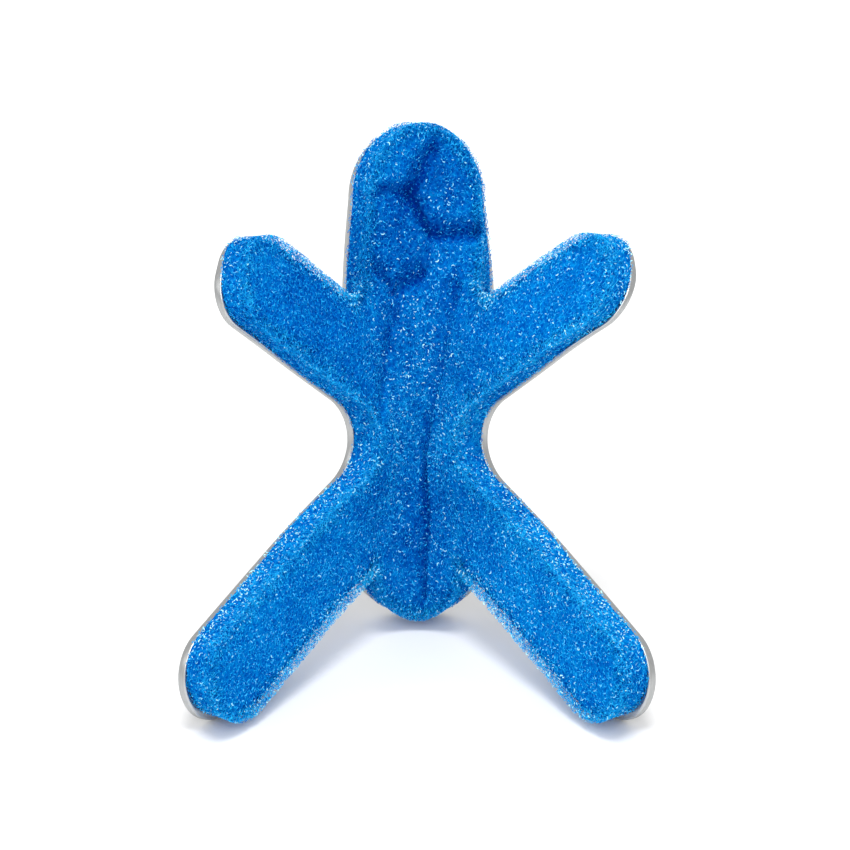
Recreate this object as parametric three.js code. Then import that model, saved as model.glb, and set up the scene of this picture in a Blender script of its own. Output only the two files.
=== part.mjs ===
// Finger splint: a die-cut sheet of soft aluminium with a foam pad bonded to its inner face, bent into
// a trough that the finger lies in. It stands on the tips of its two legs and the end of its tail.
import * as THREE from "three";

// Driving dimensions, in millimetres and degrees. The sheet is first laid out flat, with x across it and
// y up its spine, from the end of the tail at y = 0 to the top of the head.
const sheetThickness = 1.2;
const bondGap = 0.3;
const foamThickness = 4.6;
const foamRise = 0.3; // the pad sits this much higher on the spine than the sheet
const foamSpread = 0.4; // bending pushes the pad's inner face out this far at the ends of the limbs
const foamFlare = 0.4; // its cut sides spread, so that its inner face is this much wider all round
const foamEdgeRound = 0.55;
const head = { top: 64.4, radius: 9.2, shoulder: 11.7, shoulderRise: 4 };
const arm = { root: 27.6, angle: 31.2, halfWidth: 5.7, length: 39.2, cornerRadius: 4.9 };
const leg = { root: 20.6, angle: -30.5, halfWidth: 6.0, length: 49.9, cornerRadius: 5.9 };
const waistRadius = 6.1;
const tailRadius = 10.5;

// The tail's end curls back, away from the finger, so that it carries the splint behind its weight.
const tailCurl = { below: 7, depth: 1.6 };

// The bend at heights up the spine: the inner trough's radius, the angle at which the limbs leave it,
// and how far the section is turned about the spine. Between rows the bend changes smoothly.
const sections = [
  { height: 12, radius: 13.1, wing: 53.6, twist: 0 },
  { height: 24, radius: 9.8, wing: 53, twist: 0 },
  { height: 36, radius: 13.4, wing: 52.5, twist: 0 },
  { height: 52, radius: 26.2, wing: 52.5, twist: 4.6 },
];

// The head is turned further than the arms beside it, about a line in front of the spine. The turn grows
// from the neck, where the head's side meets the arm, over a rise.
const headTurn = { angle: 7.5, rise: 12, inFront: 4 };

// Creases that the bend presses into the pad's inner face, each along a straight line on the flat sheet.
// A negative depth is a swelling between creases.
const folds = [
  { fromX: 1.7, fromY: 63.0, toX: -1.5, toY: 56.0, depth: 1.3, width: 2.6 },
  { fromX: -1.5, fromY: 56.0, toX: 1.5, toY: 51.0, depth: 1.7, width: 2.6 },
  { fromX: 1.5, fromY: 51.0, toX: 9.0, toY: 50.6, depth: 1.3, width: 2.4 },
  { fromX: -9.0, fromY: 57.2, toX: -1.5, toY: 56.0, depth: 0.9, width: 2.6 },
  { fromX: 1.5, fromY: 51.0, toX: 0.0, toY: 46.3, depth: 0.8, width: 2.4 },
  { fromX: 0.0, fromY: 46.3, toX: -4.0, toY: 44.2, depth: 1.3, width: 2.4 },
  { fromX: -8.2, fromY: 46.0, toX: -4.0, toY: 44.2, depth: 0.8, width: 2.4 },
  { fromX: -4.0, fromY: 44.2, toX: -7.0, toY: 35.0, depth: 1.1, width: 2.6 },
  { fromX: -7.0, fromY: 35.0, toX: -10.0, toY: 28.7, depth: 1.1, width: 2.6 },
  { fromX: 6.7, fromY: 43.5, toX: 6.2, toY: 35.5, depth: 1.1, width: 2.6 },
  { fromX: 6.2, fromY: 35.5, toX: 2.5, toY: 22.7, depth: 1.2, width: 2.6 },
  { fromX: 2.5, fromY: 22.7, toX: 1.3, toY: 3.0, depth: 1.3, width: 2.6 },
  { fromX: 0.5, fromY: 41.0, toX: -2.5, toY: 27.0, depth: -0.7, width: 5.0 },
];

// Sizes of the facets: steps along the outline, and of the lattice of points inside it, which keep at
// least a spacing from each other.
const edgeStep = 1.7;
const latticeStep = 2.2;
const leastSpacing = 0.6 * latticeStep;

const materials = {
  aluminium: new THREE.MeshStandardMaterial({ color: 0xc4c7c9, metalness: 1.0, roughness: 0.38 }),
  foam: new THREE.MeshStandardMaterial({ color: 0x1470cf, metalness: 0.0, roughness: 0.95 }),
};

const radians = THREE.MathUtils.degToRad;
const quarterTurn = Math.PI / 2;
const leanHalvings = 40;
const upSpine = new THREE.Vector3(0, 0, 1);
const neck = neckPoint();

// A limb is a straight strip that leaves the spine at an angle. at() gives the flat point that lies a
// distance along the strip and a rise above its middle line.
function strip(limb) {
  const turn = radians(limb.angle);
  const along = new THREE.Vector2(Math.cos(turn), Math.sin(turn));
  const up = new THREE.Vector2(-along.y, along.x);
  const root = new THREE.Vector2(0, limb.root);
  const at = (distance, rise) => root.clone().addScaledVector(along, distance).addScaledVector(up, rise);
  return { ...limb, turn, along, at };
}

function crossing(pointA, directionA, pointB, directionB) {
  const between = pointB.clone().sub(pointA);
  const distance = between.cross(directionB) / directionA.cross(directionB);
  return pointA.clone().addScaledVector(directionA, distance);
}

// The limb's rounded end, from its lower edge round to its upper edge.
function addTip(path, limb) {
  const cornerDistance = limb.length - limb.cornerRadius;
  const cornerRise = limb.halfWidth - limb.cornerRadius;
  const lower = limb.at(cornerDistance, -cornerRise);
  const upper = limb.at(cornerDistance, cornerRise);
  path.absarc(lower.x, lower.y, limb.cornerRadius, limb.turn - quarterTurn, limb.turn, false);
  path.absarc(upper.x, upper.y, limb.cornerRadius, limb.turn, limb.turn + quarterTurn, false);
}

// Where the leg's lower edge runs into the round tail, as an angle about the tail's centre.
function crotchAngle(legStrip) {
  const edge = legStrip.at(0, -legStrip.halfWidth);
  const fromCentre = edge.clone().sub(new THREE.Vector2(0, tailRadius));
  const halfway = fromCentre.dot(legStrip.along);
  const reach = Math.sqrt(halfway ** 2 - fromCentre.lengthSq() + tailRadius ** 2) - halfway;
  const crotch = fromCentre.addScaledVector(legStrip.along, reach);
  return crotch.angle() > Math.PI ? crotch.angle() - 2 * Math.PI : crotch.angle();
}

// Where the head's side runs into the arm's upper edge.
function neckPoint() {
  const armStrip = strip(arm);
  const headSide = new THREE.Vector2(head.radius, head.top - head.radius);
  const shoulder = new THREE.Vector2(head.shoulder, arm.root + head.shoulderRise);
  return crossing(headSide, shoulder.sub(headSide), armStrip.at(0, arm.halfWidth), armStrip.along);
}

// The right half of the outline, anticlockwise from the end of the tail to the top of the head. Arcs are
// joined by the straight edges between them.
function rightOutline() {
  const armStrip = strip(arm);
  const legStrip = strip(leg);
  const waist = crossing(
    armStrip.at(0, -arm.halfWidth - waistRadius),
    armStrip.along,
    legStrip.at(0, leg.halfWidth + waistRadius),
    legStrip.along,
  );

  const path = new THREE.Path();
  path.moveTo(0, 0);
  path.absarc(0, tailRadius, tailRadius, -quarterTurn, crotchAngle(legStrip), false);
  addTip(path, legStrip);
  const waistStart = legStrip.turn + 3 * quarterTurn;
  path.absarc(waist.x, waist.y, waistRadius, waistStart, armStrip.turn + quarterTurn, true);
  addTip(path, armStrip);
  path.lineTo(neck.x, neck.y);
  path.absarc(0, head.top - head.radius, head.radius, 0, quarterTurn, false);
  return path.curves.flatMap((curve) => {
    const steps = Math.max(1, Math.round(curve.getLength() / edgeStep));
    return curve.getSpacedPoints(steps).slice(1);
  });
}

// The whole outline, anticlockwise: the right half, then its mirror image back down the left.
function outline() {
  const right = rightOutline();
  const left = right.slice(0, -1).reverse().map((point) => new THREE.Vector2(-point.x, point.y));
  return [new THREE.Vector2(0, 0), ...right, ...left];
}

function isInside(point, ring) {
  let inside = false;
  for (let index = 0; index < ring.length; index++) {
    const a = ring[index];
    const b = ring[(index + 1) % ring.length];
    const spans = a.y > point.y !== b.y > point.y;
    if (spans && point.x < a.x + ((b.x - a.x) * (point.y - a.y)) / (b.y - a.y)) inside = !inside;
  }
  return inside;
}

// Points along a crease, one lattice step apart.
function foldPoints(fold) {
  const line = new THREE.LineCurve(
    new THREE.Vector2(fold.fromX, fold.fromY),
    new THREE.Vector2(fold.toX, fold.toY),
  );
  return line.getSpacedPoints(Math.round(line.getLength() / latticeStep));
}

// The flat points that carry the surfaces: the ring, the creases, and a triangular lattice between them.
function flatPoints(ring) {
  const points = [...ring];
  const add = (point) => {
    const isClear = points.every((other) => other.distanceTo(point) > leastSpacing);
    if (isClear && isInside(point, ring)) points.push(point);
  };
  folds.flatMap(foldPoints).forEach(add);
  const box = new THREE.Box2().setFromPoints(ring);
  const rowStep = latticeStep * Math.sin(Math.PI / 3);
  const columns = Math.ceil(box.max.x / latticeStep);
  const rows = Math.ceil((box.max.y - box.min.y) / rowStep);
  for (let row = 0; row < rows; row++) {
    const shift = (row % 2) / 2;
    for (let column = -columns; column <= columns; column++) {
      add(new THREE.Vector2((column + shift) * latticeStep, box.min.y + row * rowStep));
    }
  }
  return points;
}

function circumscribed(points, corners) {
  const [a, b, c] = corners.map((index) => points[index]);
  const ab = b.clone().sub(a);
  const ac = c.clone().sub(a);
  const twiceArea = 2 * ab.cross(ac);
  const fromA = new THREE.Vector2(
    (ac.y * ab.lengthSq() - ab.y * ac.lengthSq()) / twiceArea,
    (ab.x * ac.lengthSq() - ac.x * ab.lengthSq()) / twiceArea,
  );
  return { corners, centre: fromA.clone().add(a), radiusSquared: fromA.lengthSq() };
}

// Delaunay triangles of flat points, all anticlockwise. Each point is put in by opening the triangles
// whose circles hold it and joining it to the rim of that hole. The outline's points go in last, because
// those of an arc lie on one circle, and points inside it settle which of them are joined.
function delaunay(points) {
  const far = 10 * (head.top + leg.length);
  const surround = [[-far, -far], [far, -far], [0, far]].map(([x, y]) => new THREE.Vector2(x, y));
  const all = [...points, ...surround];
  const count = points.length;
  let triangles = [circumscribed(all, [count, count + 1, count + 2])];
  for (let index = count - 1; index >= 0; index--) {
    const kept = [];
    const rim = new Map();
    for (const triangle of triangles) {
      if (triangle.centre.distanceToSquared(all[index]) >= triangle.radiusSquared) {
        kept.push(triangle);
        continue;
      }
      triangle.corners.forEach((from, side) => {
        const to = triangle.corners[(side + 1) % 3];
        if (!rim.delete(`${to} ${from}`)) rim.set(`${from} ${to}`, [from, to]);
      });
    }
    const fan = [...rim.values()].map(([from, to]) => circumscribed(all, [from, to, index]));
    triangles = [...kept, ...fan];
  }
  return triangles.map((triangle) => triangle.corners).filter((corners) => Math.max(...corners) < count);
}

// The flat sheet as triangles: its first ringSize points are the outline.
function flatSheet() {
  const ring = outline();
  const points = flatPoints(ring);
  const triangles = delaunay(points).filter((corners) => {
    const middle = new THREE.Vector2();
    corners.forEach((index) => middle.addScaledVector(points[index], 1 / 3));
    return isInside(middle, ring);
  });
  return { points, ringSize: ring.length, triangles };
}

function sectionAt(height) {
  const after = sections.findIndex((row) => row.height > height);
  if (after === 0) return sections[0];
  if (after < 0) return sections[sections.length - 1];
  const low = sections[after - 1];
  const high = sections[after];
  const share = THREE.MathUtils.smoothstep(height, low.height, high.height);
  const between = (column) => THREE.MathUtils.lerp(low[column], high[column], share);
  return { radius: between("radius"), wing: between("wing"), twist: between("twist") };
}

// A flat point, raised off the sheet's back by an offset, on the bent splint: x across, -y towards the
// finger and z up the spine. The section is an arc that runs on into two straight wings.
function bent(flat, offset) {
  const section = sectionAt(flat.y);
  const reach = Math.abs(flat.x);
  const turn = Math.min(reach / section.radius, radians(section.wing));
  const straight = reach - section.radius * turn;
  const arcRadius = section.radius - offset;
  const across = Math.sign(flat.x) * (arcRadius * Math.sin(turn) + straight * Math.cos(turn));
  const inward = section.radius - arcRadius * Math.cos(turn) + straight * Math.sin(turn);
  const point = new THREE.Vector3(across, -inward, flat.y);
  point.applyAxisAngle(upSpine, radians(section.twist));
  if (flat.y > neck.y && reach < neck.x) {
    const share = THREE.MathUtils.smoothstep(flat.y, neck.y, neck.y + headTurn.rise);
    const axis = new THREE.Vector3(0, -headTurn.inFront, 0);
    point.sub(axis).applyAxisAngle(upSpine, share * radians(headTurn.angle)).add(axis);
  }
  if (flat.y < tailCurl.below && reach < tailRadius) {
    point.y += tailCurl.depth * (1 - flat.y / tailCurl.below) ** 2;
  }
  return point;
}

function foldDepth(flat) {
  let depth = 0;
  for (const fold of folds) {
    const from = new THREE.Vector3(fold.fromX, fold.fromY, 0);
    const to = new THREE.Vector3(fold.toX, fold.toY, 0);
    const here = new THREE.Vector3(flat.x, flat.y, 0);
    const nearest = new THREE.Line3(from, to).closestPointToPoint(here, true, new THREE.Vector3());
    const share = Math.min(1, nearest.distanceTo(here) / fold.width);
    const pressed = fold.depth * (1 - share ** 2) ** 2;
    if (Math.abs(pressed) > Math.abs(depth)) depth = pressed;
  }
  return depth;
}

// The pad's own place on the flat sheet: a little up the spine, with the inner face pushed outwards.
function padPoint(flat, spread) {
  const limbShare = THREE.MathUtils.clamp((Math.abs(flat.x) - tailRadius) / arm.length, 0, 1);
  return new THREE.Vector2(flat.x + Math.sign(flat.x) * spread * limbShare, flat.y + foamRise);
}

// The outline's point at an index, moved inwards across the corner that it makes.
function insetPoint(ring, index, inset) {
  const before = ring[(index + ring.length - 1) % ring.length];
  const after = ring[(index + 1) % ring.length];
  const along = after.clone().sub(before).normalize();
  return ring[index].clone().add(new THREE.Vector2(-along.y, along.x).multiplyScalar(inset));
}

// A closed body from layers of points, the back one first: the first and last carry the whole sheet, and
// those between only its outline.
function layeredGeometry(sheet, layers) {
  const starts = [];
  let count = 0;
  for (const layer of layers) {
    starts.push(count);
    count += layer.length;
  }
  const back = starts[0];
  const front = starts[layers.length - 1];
  const faces = [];
  for (const [a, b, c] of sheet.triangles) {
    faces.push(back + a, back + c, back + b);
    faces.push(front + a, front + b, front + c);
  }
  for (let layer = 1; layer < layers.length; layer++) {
    for (let from = 0; from < sheet.ringSize; from++) {
      const to = (from + 1) % sheet.ringSize;
      const low = starts[layer - 1];
      const high = starts[layer];
      faces.push(low + from, low + to, high + to, low + from, high + to, high + from);
    }
  }
  const geometry = new THREE.BufferGeometry().setFromPoints(layers.flat());
  geometry.setIndex(faces);
  geometry.computeVertexNormals();
  return geometry;
}

function plateGeometry(sheet) {
  const offsets = [0, sheetThickness];
  return layeredGeometry(sheet, offsets.map((offset) => sheet.points.map((flat) => bent(flat, offset))));
}

function foamGeometry(sheet) {
  const backOffset = sheetThickness + bondGap;
  const frontOffset = backOffset + foamThickness;
  const ring = sheet.points.slice(0, sheet.ringSize);
  const brim = ring.map((flat, index) => insetPoint(ring, index, -foamFlare));
  const rim = ring.map((flat, index) => insetPoint(ring, index, foamEdgeRound - foamFlare));
  const back = sheet.points.map((flat) => bent(padPoint(flat, 0), backOffset));
  const edge = brim.map((flat) => bent(padPoint(flat, foamSpread), frontOffset - foamEdgeRound));
  const front = sheet.points.map((flat, index) => {
    if (index < sheet.ringSize) return bent(padPoint(rim[index], foamSpread), frontOffset);
    return bent(padPoint(flat, foamSpread), frontOffset - foldDepth(flat));
  });
  return layeredGeometry(sheet, [back, edge, front]);
}

function namedMesh(name, geometry, material) {
  const mesh = new THREE.Mesh(geometry, material);
  mesh.name = name;
  return mesh;
}

// The lean at which the legs' tips and the tail's end all touch the floor, found by halving.
function standingLean(sheet) {
  const ring = sheet.points.slice(0, sheet.ringSize);
  const legTips = ring.filter((flat) => Math.abs(flat.x) > tailRadius && flat.y < 0);
  const tailEnd = ring.filter((flat) => Math.abs(flat.x) < tailRadius / 2 && flat.y < tailRadius);
  const lowest = (flats, lean) => {
    const across = new THREE.Vector3(1, 0, 0);
    return Math.min(...flats.map((flat) => bent(flat, 0).applyAxisAngle(across, -lean).z));
  };
  let small = 0;
  let large = quarterTurn;
  for (let halving = 0; halving < leanHalvings; halving++) {
    const lean = (small + large) / 2;
    if (lowest(legTips, lean) > lowest(tailEnd, lean)) large = lean;
    else small = lean;
  }
  return small;
}

const sheet = flatSheet();
const splint = new THREE.Group();
splint.add(namedMesh("aluminium_plate", plateGeometry(sheet), materials.aluminium));
splint.add(namedMesh("foam_pad", foamGeometry(sheet), materials.foam));
splint.rotation.x = -standingLean(sheet);

// The origin is on the floor, under the middle of the standing splint's box.
const standing = new THREE.Box3().setFromObject(splint, true);
const middle = standing.getCenter(new THREE.Vector3());
splint.position.set(-middle.x, -middle.y, -standing.min.z);

export default splint;
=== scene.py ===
import itertools
import math

import bpy
import numpy as np
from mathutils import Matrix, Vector
from mathutils.geometry import delaunay_2d_cdt


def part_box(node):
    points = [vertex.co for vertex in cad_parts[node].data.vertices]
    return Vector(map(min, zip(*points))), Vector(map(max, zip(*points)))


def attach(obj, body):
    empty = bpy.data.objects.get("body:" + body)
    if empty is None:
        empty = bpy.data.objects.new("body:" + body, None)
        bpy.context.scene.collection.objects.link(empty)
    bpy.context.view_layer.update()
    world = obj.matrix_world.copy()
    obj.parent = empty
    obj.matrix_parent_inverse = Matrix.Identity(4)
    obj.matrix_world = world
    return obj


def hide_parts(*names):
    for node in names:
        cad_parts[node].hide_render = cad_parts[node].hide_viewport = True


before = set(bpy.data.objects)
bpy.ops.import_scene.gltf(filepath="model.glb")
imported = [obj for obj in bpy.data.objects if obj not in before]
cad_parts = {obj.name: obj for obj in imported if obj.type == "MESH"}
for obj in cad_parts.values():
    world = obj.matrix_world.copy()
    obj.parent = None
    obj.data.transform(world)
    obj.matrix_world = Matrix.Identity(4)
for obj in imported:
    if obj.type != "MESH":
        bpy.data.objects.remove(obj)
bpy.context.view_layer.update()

# The splint's sizes, in millimetres and degrees, as the flat sheet has them: x runs across the sheet and y
# up its spine, from the end of the tail at y = 0 to the top of the head.
MM = 0.001
SHEET_THICKNESS = 1.2
SHEET_EDGE_ROUND = 0.28
BOND_LINE = 0.03

# The pad's inner face lies at an offset from the plate's back. The pad sits a little higher than the plate,
# spreads towards the limbs' ends and flares at its front edge. Up to near the limbs' ends, its back edge hugs
# the plate's edge.
PAD_FRONT = 6.1
PAD_RISE = 0.3
LEG_PAD_RISE = 0.5
PAD_SPREAD = 0.4
PAD_FLARE = 0.4
PAD_HUG = {"reach": 0.45, "from": 24.0, "to": 30.0}

HEAD = {"top": 64.4, "radius": 9.2, "shoulder": 11.7, "shoulder_rise": 4.0}
ARM = {"root": 27.6, "angle": 31.2, "half_width": 5.7, "length": 39.2, "corner": 4.9}
LEG = {"root": 20.6, "angle": -30.5, "half_width": 6.0, "length": 49.9, "corner": 5.9}
WAIST_RADIUS = 6.1
TAIL_RADIUS = 10.5
TAIL_CURL = {"below": 7.0, "depth": 1.6}

# The bend at heights up the spine: trough radius, angle of the limbs, and turn about the spine.
SECTIONS = [
    {"height": 12, "radius": 13.1, "wing": 53.6, "twist": 0.0},
    {"height": 24, "radius": 9.8, "wing": 53, "twist": 0.0},
    {"height": 36, "radius": 13.4, "wing": 52.5, "twist": 0.0},
    {"height": 52, "radius": 26.2, "wing": 52.5, "twist": 4.6},
]

# The head is turned further about a line in front of the spine, from the neck up over a rise.
HEAD_TURN = {"angle": 7.5, "rise": 12.0, "in_front": 4.0}

# Creases in the pad's inner face, each along a line on the flat sheet. The side to the left of the way that
# the line runs is the steep one, where the foam bulges over the crease.
FOLDS = [
    {"from": (1.7, 61.0), "to": (-1.5, 55.4), "depth": 1.1, "width": 2.8},
    {"from": (-1.5, 55.4), "to": (1.3, 50.6), "depth": 1.2, "width": 1.9},
    {"from": (8.4, 50.4), "to": (1.3, 50.6), "depth": 1.1, "width": 2.6},
    {"from": (-7.2, 56.0), "to": (-1.5, 55.4), "depth": 0.8, "width": 3.2},
    {"from": (1.3, 50.6), "to": (0.2, 45.2), "depth": 0.5, "width": 2.0},
    {"from": (0.2, 45.2), "to": (-4.0, 42.7), "depth": 1.0, "width": 2.8},
    {"from": (-4.0, 42.7), "to": (-8.0, 45.6), "depth": 0.8, "width": 2.6},
    {"from": (-4.0, 42.7), "to": (-7.0, 35.0), "depth": 0.6, "width": 2.8},
    {"from": (-7.0, 35.0), "to": (-10.0, 28.7), "depth": 0.45, "width": 3.0},
    {"from": (6.7, 44.0), "to": (6.2, 35.5), "depth": 0.7, "width": 3.0},
    {"from": (6.2, 35.5), "to": (2.5, 22.7), "depth": 0.6, "width": 3.0},
    {"from": (2.5, 22.7), "to": (1.3, 3.0), "depth": 0.7, "width": 2.2},
]
STEEP_SIDE = 0.5
SWELLINGS = [
    {"from": (0.5, 41.0), "to": (-2.5, 27.0), "depth": 0.7, "width": 5.0},
]

# The hollow where creases meet in the head.
PIT = {"at": (-1.7, 55.3), "depth": 0.8, "width": 1.5}

# Bending the arms forward squeezes the pad's inner face up into the notches beside the head.
NECK_FILL = {"rise": 2.4, "width": 2.6}

# Where the pad bulges out over the plate: at the arms' ends, where it is stuck on askew, and at the sides of
# the tail. Its back has a share of the bulge at its inner face.
BULGES = [
    {"at": (-31.5, 52.0), "by": (-1.6, 0.4), "reach": 5.0, "back": 0.8},
    {"at": (32.0, 51.5), "by": (1.2, 0.4), "reach": 5.0, "back": 0.8},
    {"at": (-8.5, 4.5), "by": (-1.0, -0.6), "reach": 4.0, "back": 0.0},
    {"at": (8.5, 4.5), "by": (1.0, -0.6), "reach": 4.0, "back": 0.0},
]

# The foam: a net of cell walls over a denser core. Along the pad's front edge the core draws in, and the net
# there is several cells deep, so that light comes through.
CELL = 0.52
CELL_JITTER = 0.45
STRUT_RADIUS = 0.05
STRUT_SPREAD = (0.7, 1.3)
NET_DEPTH = 0.28
NET_HEIGHTS = (-0.2, 0.04)
CORE_FRONT_ROUND = 1.2
CORE_BACK_ROUND = 0.1
CORE_STEP = 0.25
CORE_GRAIN = 0.22
CORE_RAGGED = {"share": 4.0, "reach": 2.4}
SIDE_NET = {
    "cell": 0.45,
    "share": 0.24,
    "off_plate": 0.1,
    "lowest": 0.05,
    "highest": 0.05,
    "into_core": 0.25,
}
EDGE_DROP = 0.12
EDGE_SOFT = 2.4
CUT_ENDS = {"per_mm": 8, "band": 0.7, "foot": -0.3, "tips": (0.0, 0.12), "stray": 0.06}
RIM = {"step": 0.4, "depth": 1.8, "strands": 5, "share": 0.45}
SEED = 7

# Steps in millimetres at which outlines and faces are cut, and counts of steps round their edges.
RING_STEP = 0.32
FIT_RING_STEP = 0.5
PLATE_RING_STEP = 0.6
PLATE_FACE_STEP = 1.0
PLATE_EDGE_STEPS = 3
CORE_BACK_STEP = 1.6
CORE_BACK_STEPS = 3
CORE_FRONT_STEPS = 6
RING_CLEARANCE = 0.6
WELD = 1e-6
BATCH = 4000
LEAN_HALVINGS = 40

# Tones of the foam run from 0, the painted shade of a deep crease, over 0.5, loose foam, to 1, painted light
# where light shines through a thin cut edge. The painted edge light is set back from a cut edge that faces
# away from the spine.
TONE_LOOSE = 0.5
TONE_CREASE_SHADE = 0.7
TONE_EDGE_LIGHT = 0.32
EDGE_LIGHT_REACH = 1.6
# Down a cut side the painted edge light fades, less so on sides that face up the spine, as painted light from
# above.
SIDE_EDGE_LIGHT_FADE = 0.3
RIDGE_LIGHT_SETBACK = 1.8
FACES_OUT = (-0.3, 0.3)
FAR_FROM_EDGE = 9.0
TONE_LUMPS = 0.1
TONE_STRUTS = 0.08
TONE_NODES = 0.2

# A mottle and painted shade in the pores, darker towards each cell's middle, add to the tone, and the shift
# takes off what they add on average.
MOTTLE = 0.35
MOTTLE_MEAN = 0.5
MOTTLE_PER_CELL = 0.5
MOTTLE_DETAIL = 3.0
PORE_SHADE = 0.7
PORE_SHADE_MEAN = 0.45
TONE_SHIFT = MOTTLE_MEAN * MOTTLE + PORE_SHADE_MEAN * PORE_SHADE

# Broad patches of the inner face painted darker, below 0, or paler: partly painted light and shade for how
# the light falls on each part, partly the foam's own tone. Also how much more painted glint the skins carry
# there.
LIGHT_AND_SHADE_PATCHES = [
    {"at": (26.0, 43.0), "reach": 13.0, "tone": 0.08, "painted_glint": 0.4},
    {"at": (28.0, 5.0), "reach": 15.0, "tone": 0.15, "painted_glint": 0.2},
    {"at": (-26.0, 43.0), "reach": 13.0, "tone": -0.06, "painted_glint": -0.5},
    {"at": (-26.0, 4.0), "reach": 14.0, "tone": 0.05, "painted_glint": -0.3},
    {"at": (0.0, 37.0), "reach": 9.0, "tone": -0.02, "painted_glint": 1.9},
    {"at": (0.0, 13.0), "reach": 8.0, "tone": -0.16, "painted_glint": 1.0},
    {"at": (-4.0, 50.0), "reach": 7.0, "tone": -0.16, "painted_glint": 0.8},
    {"at": (4.0, 57.0), "reach": 6.0, "tone": -0.14, "painted_glint": 1.2},
    {"at": (-10.0, 24.0), "reach": 4.0, "tone": 0.12, "painted_glint": 0.4},
    {"at": (10.0, 24.0), "reach": 4.0, "tone": 0.08, "painted_glint": 0.2},
]

# Thin skins and rims that close some of the cells, as short bowed bands. Most are dull and some are painted
# pale as glints, a painted highlight. A face's own directions are found by a small step along it.
WINDOW = {
    "share": 0.7,
    "bows": (0.14, 0.3),
    "spans": (40, 150),
    "half_widths": (0.045, 0.095),
    "thick": 0.05,
    "taper": 2.4,
    "tilt": 0.5,
    "heights": (-0.14, 0.02),
}
WINDOW_STATIONS = 5
FACE_STEP = 0.05
# The skins' tone adds painted glints, painted edge light and painted light from above on up-facing cut sides.
WINDOW_TONE = {"dull": 0.12, "painted_glint": 0.44, "rarity": 2.2, "edge_light": 0.5, "lit_from_above": 0.9}

# Colours of the foam's pieces at painted crease shade, loose foam and painted edge light, and how rough and
# how glossy they are. The skins' palest colour is their painted glint.
FOAM_LOOKS = {
    "foam_core": {
        "colours": [(0.0, 0.028, 0.26), (0.0003, 0.125, 0.51), (0.001, 0.29, 0.72)],
        "roughness": 0.9,
        "specular": 0.0,
    },
    "foam_strut": {
        "colours": [(0.0, 0.047, 0.35), (0.0004, 0.22, 0.65), (0.02, 0.52, 0.93)],
        "roughness": 0.5,
        "specular": 0.0,
    },
    "foam_window": {
        "colours": [(0.0, 0.17, 0.57), (0.004, 0.45, 0.9), (0.55, 0.98, 1.0)],
        "roughness": 0.3,
        "specular": 0.4,
    },
}
FOAM_TINT = (0.7, 0.92, 1.0)
FOAM_ROUGHNESS_SPREAD = 0.2
FOAM_BUMP = {"strength": 0.4, "distance": 0.00005}

# The rolled sheet has fine streaks up the spine, of a size in metres, smudges, and edges with painted shade
# towards the back and a painted highlight towards the front.
STREAK_SIZE = (0.0002, 0.0002, 0.012)
STREAK_DETAIL = 5.0
STREAK_SHARE = 0.5
SMUDGES_PER_METRE = 160.0
SMUDGE_DETAIL = 6.0
SHEET_ROUGHNESS = (0.26, 0.46)
SHEET_STREAK_AND_EDGE_LIGHT_TONES = [(0.3, (0.26, 0.264, 0.264)), (1.0, (0.52, 0.53, 0.53))]
SHEET_BUMP = {"strength": 0.12, "distance": 0.00002}

# The studio: sizes and places in metres, power in watts.
FLOOR_HALF = 1.5
FLOOR_COLOUR = (0.94, 0.94, 0.94)
FLOOR_ROUGHNESS = 0.7
WORLD_LIGHT = 0.82
LAMP_TARGET = (0, 0, 0.03)
LAMPS = [
    {"name": "left_light", "place": (-0.65, -0.2, 0.42), "size": 0.3, "power": 0.4},
    {"name": "top_light", "place": (0.0, -0.3, 1.15), "size": 0.45, "power": 6.8},
    {"name": "front_light", "place": (0.0, -0.75, 0.6), "size": 0.5, "power": 2.0},
]

# The photograph's view, worked out from the splint's outline in it.
VIEW_TARGET_MM = (0.98, 6.66, 28.46)
VIEW_ELEVATION = 24.28
VIEW_DISTANCE_MM = 373.0
VIEW_LENS_MM = 123.25
SENSOR_MM = 36.0

rng = np.random.default_rng(SEED)


def smooth_step(values, low, high):
    share = np.clip((values - low) / (high - low), 0.0, 1.0)
    return share * share * (3.0 - 2.0 * share)


# The flat sheet's outline


def limb_direction(limb):
    turn = math.radians(limb["angle"])
    return np.array([math.cos(turn), math.sin(turn)])


def limb_point(limb, distance, rise):
    along = limb_direction(limb)
    up = np.array([-along[1], along[0]])
    return np.array([0.0, limb["root"]]) + along * distance + up * rise


def cross(a, b):
    return a[0] * b[1] - a[1] * b[0]


def crossing(point_a, direction_a, point_b, direction_b):
    distance = cross(point_b - point_a, direction_b) / cross(direction_a, direction_b)
    return point_a + direction_a * distance


def tip_arcs(limb):
    """The two corners of a limb's end as (centre, radius, start angle, end angle)."""
    turn = math.radians(limb["angle"])
    distance = limb["length"] - limb["corner"]
    rise = limb["half_width"] - limb["corner"]
    quarter = math.pi / 2
    lower = (limb_point(limb, distance, -rise), limb["corner"], turn - quarter, turn)
    upper = (limb_point(limb, distance, rise), limb["corner"], turn, turn + quarter)
    return [lower, upper]


def neck_point():
    """Where the head's side runs into the arm's upper edge."""
    head_side = np.array([HEAD["radius"], HEAD["top"] - HEAD["radius"]])
    shoulder = np.array([HEAD["shoulder"], ARM["root"] + HEAD["shoulder_rise"]])
    arm_edge = limb_point(ARM, 0, ARM["half_width"])
    return crossing(head_side, shoulder - head_side, arm_edge, limb_direction(ARM))


NECK = neck_point()


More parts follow.
